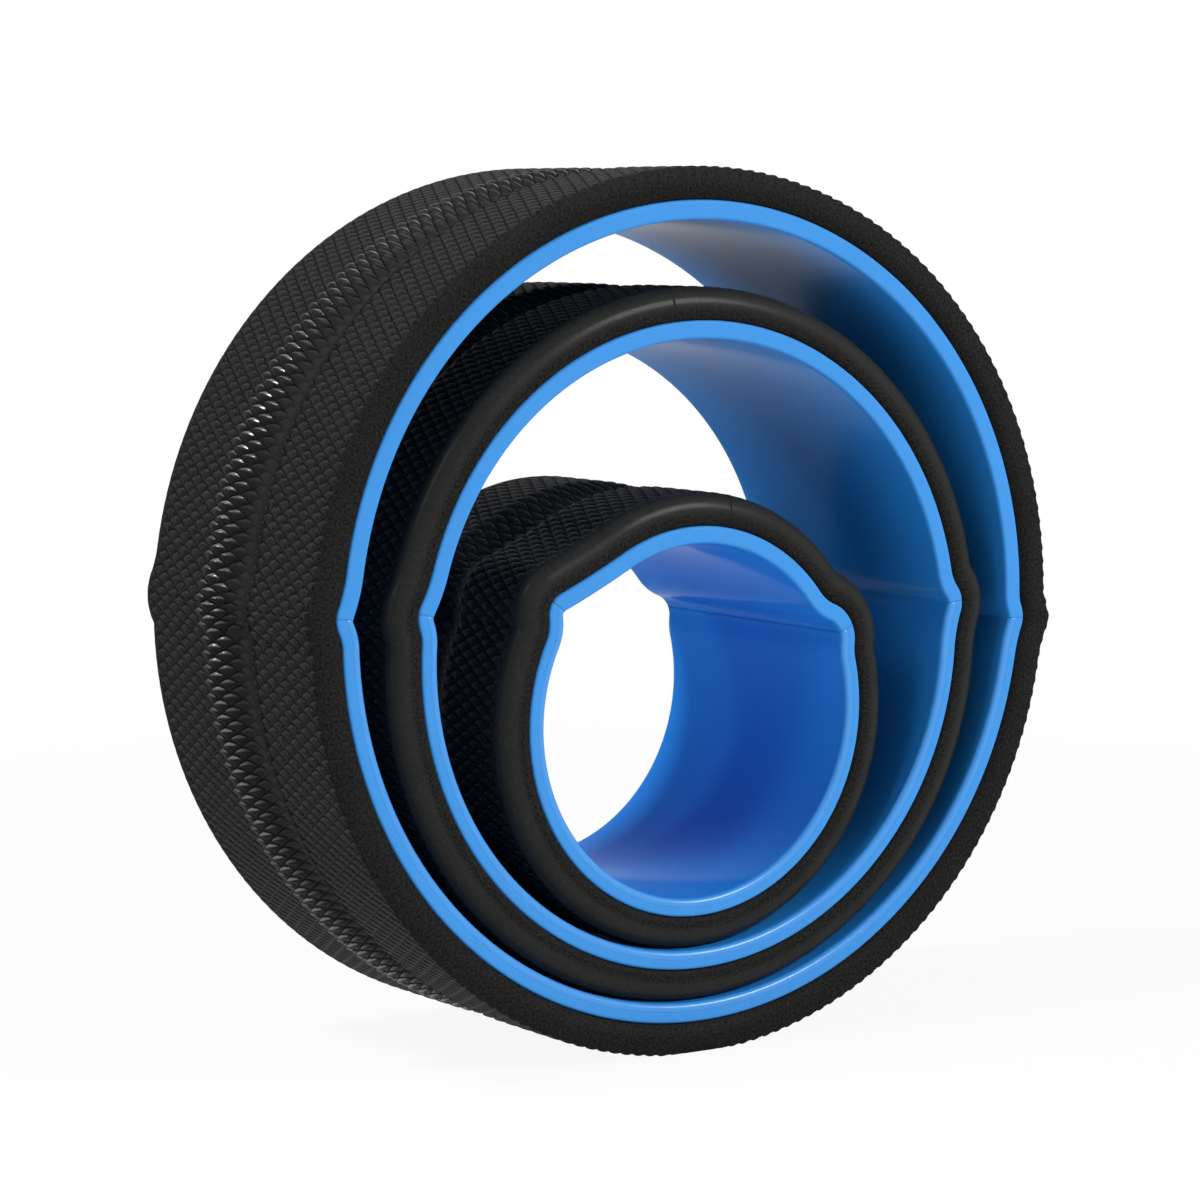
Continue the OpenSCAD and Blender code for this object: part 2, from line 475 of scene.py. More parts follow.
@dataclass(frozen=True)
class Stations:
    """Places along a stretch of a ring's line at which a section is set."""

    centres: np.ndarray
    radii: np.ndarray
    turns: np.ndarray
    outward: np.ndarray
    pattern: np.ndarray
    folds: np.ndarray | float = 0.0

    def points(self, across: np.ndarray, offsets: np.ndarray) -> np.ndarray:
        """Sets a section at every station.

        Args:
            across: the section's places along the axis, in millimetres.
            offsets: its offsets outwards from the line.

        Returns:
            Points in metres, one row a station.
        """
        shares = (offsets - offsets.min()) / np.ptp(offsets)
        reach = self.radii[:, None] * self.turns[:, None] + offsets[None, :]
        reach = reach + np.broadcast_to(self.folds, self.radii.shape)[:, None] * shares[None, :]
        flat = self.centres[:, None, :] + reach[..., None] * self.outward[:, None, :]
        depth = np.broadcast_to(across, reach.shape)
        return np.stack([flat[..., 0], depth, flat[..., 1]], axis=-1) * MM

    def directions(self, sideways: np.ndarray, outwards: np.ndarray) -> np.ndarray:
        """Turns a section's normals into directions in space, one row a station.

        Args:
            sideways: the normals' parts along the axis.
            outwards: their parts outwards.

        Returns:
            The directions.
        """
        flat = outwards[None, :, None] * self.outward[:, None, :]
        side = np.broadcast_to(sideways, flat.shape[:2])
        return np.stack([flat[..., 0], side, flat[..., 1]], axis=-1)


def even_stations(arcs: Sequence[Arc], offset: float, step: float, fewest: int = 3) -> Stations:
    """Places stations at even distances.

    Args:
        arcs: a stretch of a ring's line.
        offset: the offset at which the distance is counted.
        step: the longest distance.
        fewest: the fewest steps on one arc.

    Returns:
        The stations, with both ends of every arc among them.
    """
    def angles(arc: Arc) -> np.ndarray:
        """The angles of one arc's stations.

        Args:
            arc: the arc.

        Returns:
            The angles in radians.
        """
        longest = max(arc.length(offset), arc.length(-offset))
        count = max(fewest, math.ceil(longest / step))
        return np.linspace(arc.start, arc.end, count + 1)

    return _gather(arcs, angles, lambda arc, turned: np.zeros_like(turned))


def patterned_stations(
    arcs: Sequence[Arc], ring: RingLine, per_period: int, fewest: int = 9,
    crowding: float = 0.3, hollow_crowding: float = 0.01, slack: float = 1e-6,
) -> Stations:
    """Places stations in step with the tread's pattern.

    Args:
        arcs: a stretch of the ring's line.
        ring: the ring that they belong to.
        per_period: the stations in one period of the pattern.
        fewest: the fewest stations in a hollow, where they don't keep to the pattern's steps.
        crowding: how near an arc's end a station may lie, in steps.
        hollow_crowding: how near it may lie in a hollow, as a share of the hollow.
        slack: what is rounded away, in steps.

    Returns:
        The stations, and the pattern's count at each.
    """
    period = ring.period

    def angles(arc: Arc) -> np.ndarray:
        """The angles of one arc's stations, thinned beside its ends.

        Args:
            arc: the arc.

        Returns:
            The angles in radians.
        """
        reach = (arc.radius + arc.turn * ring.crown) / period
        span = abs(arc.end - arc.start)
        first = math.ceil(arc.begin * per_period - slack)
        last = math.floor((arc.begin + span * reach) * per_period + slack)
        inside = (np.arange(first, last + 1) / per_period - arc.begin) / reach
        if arc.turn < 0:
            inside = np.linspace(0.0, span, max(fewest, math.ceil(span * reach * per_period)))
        gap = crowding / (per_period * reach) if arc.turn > 0 else span * hollow_crowding
        inside = inside[(inside > gap) & (inside < span - gap)]
        return arc.start + arc.turn * np.concatenate([[0.0], inside, [span]])

    def counts(arc: Arc, turned: np.ndarray) -> np.ndarray:
        """The pattern's count at the stations of one arc."""
        reach = (arc.radius + arc.turn * ring.crown) / period
        return arc.begin + np.abs(turned - arc.start) * reach

    found = _gather(arcs, angles, counts)
    return replace(found, folds=ring.folds(found.pattern))


def _gather(
    arcs: Sequence[Arc], angles: Callable[[Arc], np.ndarray],
    counts: Callable[[Arc, np.ndarray], np.ndarray],
) -> Stations:
    """Joins the stations of a stretch's arcs, without doubles where two arcs meet.

    Args:
        arcs: a stretch of a ring's line.
        angles: gives the angles of an arc's stations.
        counts: gives the pattern's count at those angles.

    Returns:
        The stations.
    """
    names = ("centres", "radii", "turns", "outward", "pattern")
    parts: dict[str, list[np.ndarray]] = {name: [] for name in names}
    for number, arc in enumerate(arcs):
        turned = angles(arc)
        if number:
            turned = turned[1:]
        parts["centres"].append(np.tile(arc.centre, (len(turned), 1)))
        parts["radii"].append(np.full(len(turned), arc.radius))
        parts["turns"].append(np.full(len(turned), float(arc.turn)))
        parts["outward"].append(arc.outward(turned))
        parts["pattern"].append(counts(arc, turned))
    return Stations(**{name: np.concatenate(arrays) for name, arrays in parts.items()})


@dataclass
class Section:
    """A closed outline across a ring, anticlockwise or not: places, offsets and what they carry."""

    across: list[float] = field(default_factory=list)
    offsets: list[float] = field(default_factory=list)
    relief: list[float] = field(default_factory=list)
    gloss: list[float] = field(default_factory=list)

    def add(self, across: float, offset: float, relief: float = 0.0, gloss: float = 0.0) -> None:
        """Adds a point.

        Args:
            across: the place along the axis.
            offset: the offset outwards from the ring's line.
            relief: the share of the pattern's relief, or on a shell how polished it is.
            gloss: the gloss, or on a shell how far it belongs to a cut face.
        """
        self.across.append(across)
        self.offsets.append(offset)
        self.relief.append(relief)
        self.gloss.append(gloss)

    def normals(self) -> tuple[np.ndarray, np.ndarray]:
        """Works out the outline's normals from each point's neighbours.

        Returns:
            The parts along the axis, and the parts outwards.
        """
        across, offsets = np.array(self.across), np.array(self.offsets)
        along = np.roll(across, -1) - np.roll(across, 1)
        rise = np.roll(offsets, -1) - np.roll(offsets, 1)
        length = np.hypot(along, rise)
        area = np.sum(across * np.roll(offsets, -1) - np.roll(across, -1) * offsets)
        sign = math.copysign(1.0, area)
        return sign * rise / length, -sign * along / length


def sweep(name: str, stations: Stations, section: Section) -> bpy.types.Object:
    """Sweeps a closed section along a stretch of a ring and closes both ends.

    Args:
        name: the new object's name.
        stations: where the section is set.
        section: the outline.

    Returns:
        The object, with its place in its mesh. Its mesh carries the attributes "pattern" (the
        pattern's count along and across, and the share of relief), "lift" (the smooth surface's
        normal) and "gloss".
    """
    across, offsets = np.array(section.across), np.array(section.offsets)
    points = stations.points(across, offsets)
    rows, columns = points.shape[:2]
    index = np.arange(rows * columns).reshape(rows, columns)
    after = np.roll(index, -1, axis=1)
    quads = np.stack([index[:-1], after[:-1], after[1:], index[1:]], axis=-1).reshape(-1, 4)
    faces = [*quads.tolist(), index[0, ::-1].tolist(), index[-1].tolist()]
    mesh = bpy.data.meshes.new(name)
    mesh.from_pydata(points.reshape(-1, 3).tolist(), [], faces)
    smooth = np.ones(len(faces), bool)
    smooth[-2:] = False
    mesh.polygons.foreach_set("use_smooth", smooth)

    sideways, outwards = section.normals()
    lift = stations.directions(sideways, outwards)
    along = np.broadcast_to(stations.pattern[:, None], (rows, columns))
    wide = np.broadcast_to(across, (rows, columns))
    share = np.broadcast_to(section.relief, (rows, columns))
    pattern = np.stack([along, wide, share], axis=-1)
    gloss = np.broadcast_to(section.gloss, (rows, columns))
    for label, kind, slot, data in (
        ("pattern", "FLOAT_VECTOR", "vector", pattern),
        ("lift", "FLOAT_VECTOR", "vector", lift),
        ("gloss", "FLOAT", "value", gloss),
    ):
        layer = mesh.attributes.new(label, kind, "POINT")
        layer.data.foreach_set(slot, np.ascontiguousarray(data, np.float32).ravel())

    work = bmesh.new()
    work.from_mesh(mesh)
    if work.calc_volume(signed=True) < 0:
        bmesh.ops.reverse_faces(work, faces=work.faces)
    work.to_mesh(mesh)
    work.free()
    mesh.update()
    return new_object(name, mesh)


# Finishes


@dataclass(frozen=True)
class ShellPlastic:
    """Glossy plastic with the faint unevenness of a moulding, paler on its cut faces as painted light and
    a deeper blue elsewhere as painted shade.

    The third part of the attribute "pattern" says how polished a place is, and "gloss" how far it
    belongs to a cut face.
    """

    name: str = "shell_plastic"
    # The blue with painted shade, used away from the cut faces
    body: Colour = (0.024, 0.252, 0.74, 1.0)
    # The same blue with painted light, for the cut faces
    face: Colour = (0.062, 0.295, 0.73, 1.0)
    unevenness: float = 0.08
    sheen_tint: Colour = (0.30, 0.62, 1.0, 1.0)
    roughness: float = 0.12
    roughness_spread: float = 0.04
    polish_roughness: float = 0.24
    cloud_scale: float = 38.0
    grain_scale: float = 900.0
    grain_depth: float = 0.00004
    grain_strength: float = 0.5
    refraction: float = 1.12
    matte_share: float = 0.3

    def make(self) -> bpy.types.Material:
        """Makes the material.

        Returns:
            The material.
        """
        material, tree, place = surface(self.name)
        clouds = tree.noise(place, self.cloud_scale)
        grain = tree.noise(place, self.grain_scale)
        polish = carried(tree)[2]
        # Painted shade and painted light: the shaded blue where gloss is 0, the lit blue on the cut faces
        colour = tree.add("ShaderNodeHueSaturation", {}, {
            "Value": clouds * self.unevenness + (1.0 - self.unevenness / 2.0),
            "Color": tree.mixed_colour(tree.gloss(), self.body, self.face),
        })
        bump = tree.add("ShaderNodeBump", {}, {
            "Strength": self.grain_strength, "Distance": self.grain_depth, "Height": grain,
        }).outputs[0]
        shader = tree.add("ShaderNodeBsdfPrincipled", {}, {
            "Base Color": colour.outputs[0],
            "Roughness": clouds * self.roughness_spread + self.roughness,
            "IOR": self.refraction,
            "Specular Tint": self.sheen_tint,
            "Coat Weight": polish,
            "Coat Roughness": self.polish_roughness,
            "Normal": bump,
        })
        matte = tree.add("ShaderNodeBsdfDiffuse", {}, {"Color": colour.outputs[0], "Normal": bump})
        tree.finish(tree.mixed_shader(self.matte_share, shader, matte))
        return material


@dataclass(frozen=True)
class TreadFoam:
    """Black closed-cell foam, matte and fine-grained, with scales pressed into it.

    Where the attribute "gloss" is over shine_from, the rims of the scales shine, and so does foam
    that was pressed smooth. The grain in the colour gets fainter as the gloss rises. The colour also
    holds painted shade in the grooves and low parts of the scales, painted highlights on the tips of
    the rims and a painted sheen on foam that was pressed smooth.
    """

    pattern: "ScalePattern"
    name: str = "tread_foam"
    crest: Colour = from_screen(46, 47, 45)
    # Painted shade for the grooves and the low parts of the scales
    groove: Colour = from_screen(5, 5, 5)
    refraction: float = 1.45
    specular: float = 0.04
    roughness: float = 0.6
    smooth_roughness: float = 0.36
    rough_grain: float = 0.15
    # The shine of the rims and of smooth foam
    shine_from: float = 0.5
    shine_gain: float = 2.0
    shine_refraction: float = 2.1
    shine_roughness: float = 0.2
    # The scales, with painted shade in the lines between them and painted highlights on their tips, and
    # the foam that was pressed smooth, with a painted sheen
    fine_relief: float = 0.0005
    line_width: float = 0.36
    groove_shade_share: float = 0.9
    dark_until: float = 0.6
    crest_share: float = 0.4
    base_share: float = 0.8
    cloud_share: float = 0.4
    pressed_shares: tuple[float, float] = (0.1, 0.3)
    bare_until: float = 0.3
    bare_gain: float = 2.9
    # How much lighter foam pressed smooth is painted, as a painted sheen
    painted_sheen_share: float = 0.6
    # How much lighter the tips of the scales' rims are painted, as painted highlights
    painted_tip_highlight: float = 0.9
    tip_shares: tuple[float, float] = (0.5, 0.9)
    # The grain, and how strong it is in the colour
    grain_scale: float = 1000.0
    grain_detail: float = 3.0
    grain_depth: float = 0.0002
    grain_strength: float = 0.6
    coarse_until: float = 0.6
    coarse_least: float = 0.1
    coarse_gain: float = 10.0
    cloud_scale: float = 60.0

    def make(self) -> bpy.types.Material:
        """Makes the material.

        Returns:
            The material.
        """
        material, tree, place = surface(self.name)
        along, wide, share = carried(tree)
        gloss = tree.gloss()
        height = self.pattern.height(along, wide, self.pattern.column)
        kept = 1.0 - (1.0 - height) * share.least(1.0)
        rim = self.pattern.rim_line(along, wide, self.pattern.column)
        pressed = share.eased(*self.pressed_shares)
        # Painted shade along the grooves between the scales
        groove = (1.0 - height.eased(0.0, self.line_width)) * pressed
        # Foam pressed smooth: it gets a real coat and, in the colour, a painted sheen
        smooth_sheen = (1.0 - share.eased(0.0, self.bare_until)) * (gloss - Foam.matte).most(0.0) * self.bare_gain
        grain = tree.noise(place, self.grain_scale, self.grain_detail)
        clouds = tree.noise(place, self.cloud_scale)
        coarse = (self.coarse_until - gloss.most(Foam.matte)).most(self.coarse_least) * self.coarse_gain
        mottle = clouds * self.cloud_share + (grain - NOISE_MIDDLE) * coarse + self.base_share
        # Painted highlights: the tips of the scales' rims are painted lighter
        glints = rim * share.eased(*self.tip_shares) * self.painted_tip_highlight + 1.0
        # Painted shade: darker down each scale's slope and in its grooves
        shade = kept.eased(0.0, self.dark_until) * (1.0 - groove * self.groove_shade_share)
        # Painted sheen on foam pressed smooth, and the painted tip highlights
        shade = shade * (1.0 + smooth_sheen * self.painted_sheen_share) * (mottle * self.crest_share) * glints
        colour = tree.mixed_colour(shade, self.groove, self.crest)
        formed = tree.add("ShaderNodeBump", {}, {
            "Strength": 1.0, "Distance": self.fine_relief, "Height": kept,
        })
        grained = tree.add("ShaderNodeBump", {}, {
            "Strength": self.grain_strength, "Distance": self.grain_depth, "Height": grain,
            "Normal": formed.outputs[0],
        })
        smoothed = gloss.least(self.shine_from) / self.shine_from
        rough = (grain - NOISE_MIDDLE) * self.rough_grain
        shining = (gloss - self.shine_from).most(0.0) * (rim * pressed).most(smooth_sheen)
        shader = tree.add("ShaderNodeBsdfPrincipled", {}, {
            "Base Color": colour,
            "Roughness": smoothed * (self.smooth_roughness - self.roughness) + self.roughness + rough,
            "IOR": self.refraction,
            "Specular IOR Level": self.specular,
            "Coat Weight": shining * self.shine_gain,
            "Coat Roughness": self.shine_roughness,
            "Coat IOR": self.shine_refraction,
            "Normal": grained.outputs[0],
        })
        tree.finish(shader)
        return material


@dataclass(frozen=True)
class BondFilm:
    """Thin dark adhesive film, matte, with a faint mottle."""

    name: str = "bond_film"
    colour: Colour = from_screen(14, 24, 48)
    mottle: Colour = from_screen(20, 34, 66)
    roughness: float = 0.55
    roughness_spread: float = 0.1
    mottle_scale: float = 400.0

    def make(self) -> bpy.types.Material:
        """Makes the material.

        Returns:
            The material.
        """
        material, tree, place = surface(self.name)
        mottle = tree.noise(place, self.mottle_scale)
        shader = tree.add("ShaderNodeBsdfPrincipled", {}, {
            "Base Color": tree.mixed_colour(mottle, self.colour, self.mottle),
            "Roughness": mottle * self.roughness_spread + self.roughness,
        })
        tree.finish(shader)
        return material


@dataclass(frozen=True)
class Finishes:
    """The finished materials of the set."""

    shell: bpy.types.Material
    foam: bpy.types.Material
    film: bpy.types.Material

    @classmethod
    def make(cls, pattern: "ScalePattern") -> "Finishes":
        """Makes the three materials, the foam's with the pattern of its scales."""
        return cls(ShellPlastic().make(), TreadFoam(pattern).make(), BondFilm().make())


# Pieces


@dataclass(frozen=True)
class ScalePattern:
    """Overlapping scales on a tread, in columns that are offset by half a scale, as a node tree."""

    relief: float = 0.85
    column: float = 4.9
    arch: float = 0.45
    rim: float = 0.24
    fall: float = 0.8
    corner_drop: float = 0.9
    taper: float = 2.5
    corner_power: float = 3.0
    crest_shares: tuple[float, float, float, float] = (0.25, 0.7, 1.04, 1.56)
    crest_aside: tuple[float, float] = (0.35, 0.75)
    phase: float = 1 / 16
    tie_break: float = 0.002
    thinnest: float = 0.02

    def tree(self) -> bpy.types.NodeTree:
        """Builds the geometry tree that presses the scales into a smooth tread.

        Returns:
            The tree. Its named inputs are the relief, the column's width and the material.
        """
        group = bpy.data.node_groups.new("foam_scales", "GeometryNodeTree")
        for name, way, kind in (
            ("Tread", "INPUT", "NodeSocketGeometry"),
            ("Relief", "INPUT", "NodeSocketFloat"),
            ("Column width", "INPUT", "NodeSocketFloat"),
            ("Finish", "INPUT", "NodeSocketMaterial"),
            ("Tread", "OUTPUT", "NodeSocketGeometry"),
        ):
            group.interface.new_socket(name, in_out=way, socket_type=kind)
        tree = TreeMaker(group)
        given = tree.add("NodeGroupInput")
        pattern, lift = (
            tree.add("GeometryNodeInputNamedAttribute", {"data_type": "FLOAT_VECTOR"}, {"Name": name})
            for name in ("pattern", "lift")
        )
        along, wide, share = tree.parts(pattern.outputs["Attribute"])
        height = self.height(along, wide, Term(tree, given.outputs["Column width"]))
        sunk = share * (height - 1.0) * Term(tree, given.outputs["Relief"])
        offset = tree.add("ShaderNodeVectorMath", {"operation": "SCALE"}, {
            0: lift.outputs["Attribute"], "Scale": sunk,
        })
        pressed = tree.add("GeometryNodeSetPosition", {}, {
            "Geometry": given.outputs["Tread"], "Offset": offset.outputs[0],
        })
        real = tree.add("GeometryNodeRealizeInstances", {}, {"Geometry": pressed.outputs[0]})
        done = tree.add("GeometryNodeSetMaterial", {}, {
            "Geometry": real.outputs[0], "Material": given.outputs["Finish"],
        })
        tree.add("NodeGroupOutput", {}, {"Tread": done.outputs[0]})
        return group

    def height(self, along: Term, wide: Term, column: Value) -> Term:
        """The height of the scales between their grooves, 0 to 1, in a geometry or a shader tree.

        Args:
            along: the count of scales along the tread.
            wide: the place across the tread.
            column: the columns' distance, in the unit of wide.

        Returns:
            The height; each scale has an arched rim at its upper end and slopes down from it.
        """
        return self._mixed(along, wide / column, self._scale)

    def rim_line(self, along: Term, wide: Term, column: Value) -> Term:
        """1 along the crest of each scale's rim and 0 away from it. Takes what height takes."""
        return self._mixed(along, wide / column, self._crest)

    def _mixed(self, along: Term, across: Term, profile: Callable[[Term, Term], Term]) -> Term:
        """Sets a scale's profile in both families of columns.

        Args:
            along: the count of scales along the tread.
            across: the count of columns across it.
            profile: a scale's value from the share of its length below its rim and the place
                across it.

        Returns:
            The value of whichever scale lies on top.
        """
        aside = across.zigzag()
        other = 1.0 - aside
        here = 1.0 - (self._arched(aside) - along - self.phase).fraction()
        there = 1.0 - (self._arched(other) - along - self.phase - 0.5).fraction()
        chosen = (here + (aside - 0.5) * self.tie_break).below(there)
        mine = profile((here / other.most(self.thinnest)).least(1.0), aside)
        theirs = profile((there / aside.most(self.thinnest)).least(1.0), other)
        return chosen * mine + (1.0 - chosen) * theirs

    def _arched(self, aside: Term) -> Term:
        """How far a scale's rim has come down, in scales, at a place from its middle to its corner."""
        return (aside * aside * self.arch + aside * (1.0 - self.arch)) * 0.5

    def _scale(self, down: Term, aside: Term) -> Term:
        """One scale's height.

        Args:
            down: the share of the scale's length below its rim.
            aside: the place from its middle to its corner, 0 to 1.

        Returns:
            The height, 0 to 1.
        """
        rise = down.eased(0.0, self.rim)
        below = ((down - self.rim) / (1.0 - self.rim)).most(0.0)
        body = 1.0 - below ** self.taper * self.fall
        return rise * body * (1.0 - aside ** self.corner_power * self.corner_drop)

    def _crest(self, down: Term, aside: Term) -> Term:
        """1 on the crest of one scale's rim, thinner towards its corners.

        Args:
            down, aside: the same places as for _scale.

        Returns:
            The strength of the line.
        """
        rise_from, rise_to, fall_from, fall_to = (self.rim * share for share in self.crest_shares)
        line = down.eased(rise_from, rise_to) * (1.0 - down.eased(fall_from, fall_to))
        return line * (1.0 - aside.eased(*self.crest_aside))


@dataclass(frozen=True)
class Wheel:
    """One wheel: its place, width, wall, tread and the line of its ring. Lengths in millimetres.

    Where worn is True, the hollow in its tread has a shiny row. The seams are the angles in degrees
    at which the tread's strips meet, the upper one first; without them they meet on the knuckles.
    """

    name: str
    body: str
    height: float
    front: float
    width: float
    wall: float
    edge_r: float
    plain_edge: float
    ring: RingLine
    glints: bool = False
    seams: tuple[float, float] | None = None

    @property
    def foam_base(self) -> float:
        """The offset of the foam's inner face from the wall's middle line."""
        return self.wall / 2 + Foam.film

    def strips(self) -> tuple[tuple[str, float, float], ...]:
        """Says how the tread is cut into two strips.

        Returns:
            A name and two angles in degrees for each strip.
        """
        right, left = self.ring.right.angle, self.ring.left.angle
        if self.seams is None:
            return ("upper", right, left), ("lower", left, right + ROUND)
        top, bottom = self.seams
        return ("left", top, bottom), ("right", bottom - ROUND, top)

    def settle(self, piece: bpy.types.Object) -> None:
        """Moves a piece to its wheel's place, in its mesh, and flattens what would lie below the floor.

        Args:
            piece: the piece, round the origin.
        """
        middle = self.front + self.width / 2
        mesh = piece.data
        mesh.transform(Matrix.Translation((0.0, middle * MM, self.height * MM)))
        points = np.zeros(len(mesh.vertices) * 3, np.float32)
        mesh.vertices.foreach_get("co", points)
        if points[2::3].min() < 0.0:
            points[2::3] = np.maximum(points[2::3], 0.0)
            mesh.vertices.foreach_set("co", points)
            mesh.update()


@dataclass(frozen=True)
class Piece:
    """A piece that follows a wheel's ring from one angle to another, in degrees."""

    wheel: Wheel
    node: str
    start: float
    end: float

    form: ClassVar[str]
    slot: ClassVar[Slot]

    def shape(self, name: str, material: bpy.types.Material) -> bpy.types.Object:
        """Makes the piece round the origin; each kind of piece has its own shape.

        Args:
            name: the name of the piece.
            material: its finish.

        Returns:
            The piece.
        """
        raise NotImplementedError

    def build(self, material: bpy.types.Material) -> bpy.types.Object:
        """Makes the piece, puts it in its place and gives it its material, body and node.

        Args:
            material: its finish.

        Returns:
            The piece.
        """
        piece = self.shape(f"{self.node}_{self.form}", material)
        self.wheel.settle(piece)
        if not piece.data.materials:
            piece.data.materials.append(material)
        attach(piece, self.wheel.body)
        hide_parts(self.node)
        LOG.info("%s: %d faces, stands for %s", piece.name, len(piece.data.polygons), self.node)
        return piece


class Foam:
    """Sizes and gloss that every tread has in common. Lengths in millimetres."""

    thickness = 12.0
    film = 0.3
    film_setback = 2.0

    # The hollow for the spine: half its width, its depth and how round its floor is
    lip = 17.5
    depth = 6.0
    round_share = 0.6

    # How far the scales take to fade in from a smooth edge and from the back edge
    plain_fade = 1.5
    back_fade = 4.0

    # The scales in the hollow: they fade to least_relief on the near flank, until near_end from
    # the middle, and rise again from far_start
    least_relief = 0.35
    near_end = 9.0
    far_start = -1.0
    far_fade = 6.0
    far_gain = 0.75

    # The gloss of the crown, the smooth edges, the hollow and its near flank, which reaches from
    # just outside the lip to dull_end from the middle
    matte = 0.15
    # The smooth edges' gloss also sets the painted sheen in their colour
    smooth = 0.51
    hollow = 0.5
    dull = -0.8
    dull_margin = 1.0
    dull_end = 5.0

    # The shiny row in the far flank
    glint_row = 14.7
    glint_reach = 7.0


@dataclass(frozen=True)
class Shell(Piece):
    """A half shell of a ring, with rounded edges.

    Where it has a face line, a fine groove runs round its front face, line_at from the inner
    edge, and that edge is rounder and polished.
    """

    form: ClassVar[str] = "moulding"
    slot: ClassVar[Slot] = Slot.SHELL
    face_line: bool = False
    edge_r: float = 1.3
    polished_r: float = 1.9
    edge_steps: int = 4
    support: float = 0.5
    line_at: float = 3.4
    line_half: float = 0.2
    line_reach: float = 0.5
    line_depth: float = 0.12
    step: float = 2.0

    def section(self) -> Section:
        """The wall's outline, each rounded edge between two points that keep the faces flat.

        Returns:
            The outline.
        """
        half_w, half_t = self.wheel.width / 2, self.wheel.wall / 2
        outline = Section()
        for number, (side, out) in enumerate(((1, 1), (-1, 1), (-1, -1), (1, -1))):
            polished = self.face_line and side < 0 and out < 0
            edge_r = self.polished_r if polished else self.edge_r
            centre = (side * (half_w - edge_r), out * (half_t - edge_r))
            first = number * QUARTER
            turned = [first + QUARTER * step / self.edge_steps for step in range(self.edge_steps + 1)]
            rounded = [self._beside(centre, angle, edge_r) for angle in turned]
            before = self._beside(rounded[0], first - QUARTER, self.support)
            behind = self._beside(rounded[-1], first + HALF_TURN, self.support)
            for across, offset in (before, *rounded, behind):
                cut = max(0.0, 1.0 - (half_w - abs(across)) / edge_r)
                outline.add(across, offset, cut if polished else 0.0, cut)
            if self.face_line and side < 0 < out:
                self._line(outline, -half_w, self.line_at - half_t)
        return outline

    @staticmethod
    def _beside(point: tuple[float, float], angle: float, away: float) -> tuple[float, float]:
        """The point that lies some way from another in a direction."""
        return point[0] + away * math.cos(angle), point[1] + away * math.sin(angle)

    def _line(self, outline: Section, face: float, middle: float) -> None:
        """Adds a fine groove on the front face, between points that keep the face beside it flat.

        Args:
            outline: the outline that it goes into.
            face: the place of the front face along the axis.
            middle: the groove's offset from the ring's line.
        """
        half = self.line_half
        for off in (self.line_reach, half, 0.0, -half, -self.line_reach):
            outline.add(face if off else face + self.line_depth, middle + off, gloss=1.0)

    def shape(self, name: str, material: bpy.types.Material) -> bpy.types.Object:
        """Sweeps the wall's outline along the ring."""
        arcs = self.wheel.ring.between(self.start, self.end)
        return sweep(name, even_stations(arcs, self.wheel.wall / 2, self.step), self.section())


@dataclass(frozen=True)
class Film(Piece):
    """The adhesive film under one tread, set back from the foam's faces."""

    form: ClassVar[str] = "strip"
    slot: ClassVar[Slot] = Slot.FILM
    step: float = 2.0

    def shape(self, name: str, material: bpy.types.Material) -> bpy.types.Object:
        """Sweeps the film's outline along the ring.

        Args:
            name: the name of the piece.
            material: its finish; not used here.

        Returns:
            The piece, round the origin.
        """
        half_w = self.wheel.width / 2 - Foam.film_setback
        low, high = self.wheel.wall / 2, self.wheel.foam_base
        outline = Section()
        for across, offset in ((half_w, high), (-half_w, high), (-half_w, low), (half_w, low)):
            outline.add(across, offset)
        arcs = self.wheel.ring.between(self.start, self.end)
        return sweep(name, even_stations(arcs, high, self.step), outline)


